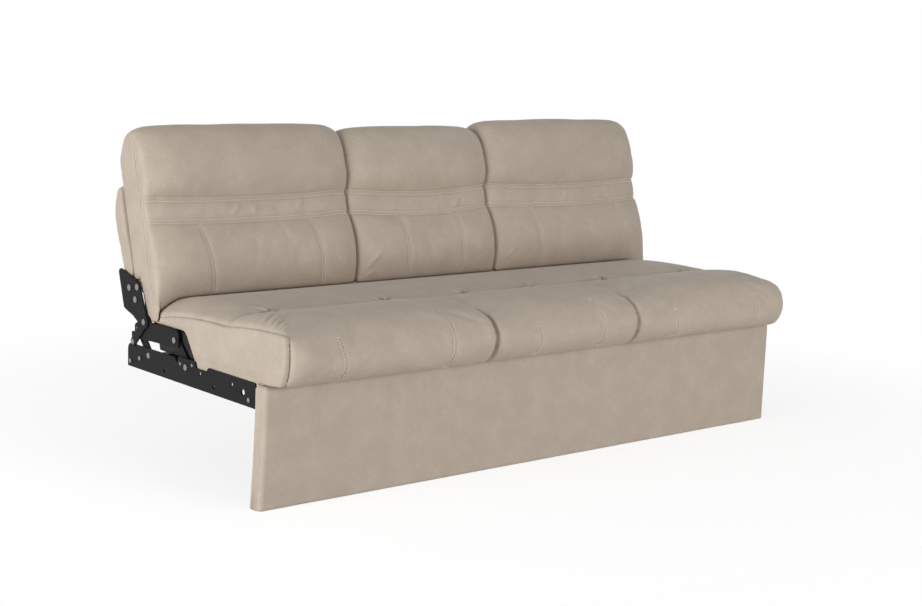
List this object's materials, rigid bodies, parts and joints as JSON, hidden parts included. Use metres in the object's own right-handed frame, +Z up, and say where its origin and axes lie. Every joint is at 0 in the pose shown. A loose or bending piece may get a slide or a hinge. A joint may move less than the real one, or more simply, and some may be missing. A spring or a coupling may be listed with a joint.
{
  "type": "jackknife sofa bed",
  "caption": "Jackknife sofa with tufted crowned cushions on a swinging link frame: the seat slides forward, the back folds level behind it and the two make a flat bed.",
  "frame": {"origin": "on the floor, half way along the sofa and half way between the front of the seat and the rear of the back", "axes": "+X along the sofa to the right as seen from the front, +Y from the front to the rear, +Z up"},
  "size_m": [1.727, 0.798, 0.8298],
  "materials": {
    "upholstery": "matt beige leather-look cover",
    "foam": "bare foam",
    "plywood": "bare plywood",
    "timber": "bare softwood",
    "black_cloth": "woven black cloth",
    "nylon": "black nylon",
    "plated_steel": "zinc plated",
    "black_steel": "satin black powder coat"
  },
  "bodies": {
    "base": {"base_rail_left": "black_steel", "base_rail_right": "black_steel", "base_front_tube": "black_steel", "base_rear_tube": "black_steel", "base_rear_ears": "black_steel", "base_bolts": "plated_steel", "base_tube_plugs": "nylon", "kickboard_cover": "upholstery", "kickboard_panel": "plywood", "kickboard_brackets": "black_steel", "kickboard_screws": "plated_steel", "front_pivot_pins": "plated_steel", "rear_pivot_pins": "plated_steel", "link_stop_pins": "plated_steel"},
    "front_links": {"front_link_left": "black_steel", "front_link_right": "black_steel"},
    "rear_links": {"rear_link_left": "black_steel", "rear_link_right": "black_steel"},
    "seat": {"seat_bolts": "plated_steel", "seat_border_left": "upholstery", "seat_border_right": "upholstery", "seat_bracket_left": "black_steel", "seat_bracket_right": "black_steel", "seat_deck": "plywood", "seat_dust_cover": "black_cloth", "seat_foam_centre": "foam", "seat_foam_left": "foam", "seat_foam_right": "foam", "seat_front_tube": "black_steel", "seat_pad_centre": "upholstery", "seat_pad_left": "upholstery", "seat_pad_right": "upholstery", "seat_rear_tube": "black_steel", "seat_side_tubes": "black_steel", "seat_slats": "black_steel", "front_link_pins": "plated_steel", "rear_link_pins": "plated_steel"},
    "back": {"back_bolts": "plated_steel", "back_bottom_rail": "timber", "back_bracket_left": "black_steel", "back_bracket_right": "black_steel", "back_cushion_centre": "upholstery", "back_cushion_left": "upholstery", "back_cushion_right": "upholstery", "back_foam_centre": "foam", "back_foam_left": "foam", "back_foam_right": "foam", "back_posts": "timber", "back_rear_pad": "upholstery", "back_spacers": "plated_steel", "back_top_rail": "timber", "back_webbing": "black_cloth", "hinge_pins": "plated_steel", "heel_pins": "plated_steel", "heel_glides": "nylon", "bed_stop_pins": "plated_steel"}
  },
  "joints": [
    {"name": "link_swing", "type": "hinge", "parent": "base", "child": "front_links", "pos_m": [0, 0.043, 0.268], "axis": [1, 0, 0], "range_deg": [0, 75]},
    {"name": "seat_level", "type": "hinge", "parent": "front_links", "child": "seat", "pos_m": [0, 0.0962, 0.32505], "axis": [1, 0, 0], "range_deg": [-75, 0]},
    {"name": "back_fold", "type": "hinge", "parent": "seat", "child": "back", "pos_m": [0, 0.236, 0.34835], "axis": [1, 0, 0], "range_deg": [-75, 0]},
    {"name": "rear_link_swing", "type": "hinge", "parent": "base", "child": "rear_links", "pos_m": [0, 0.223, 0.266], "axis": [1, 0, 0], "range_deg": [0, 75]}
  ],
  "couplings": [
    {"joint": "seat_level", "follows": "link_swing", "ratio": -1},
    {"joint": "back_fold", "follows": "link_swing", "ratio": -1},
    {"joint": "rear_link_swing", "follows": "link_swing", "ratio": 1}
  ]
}
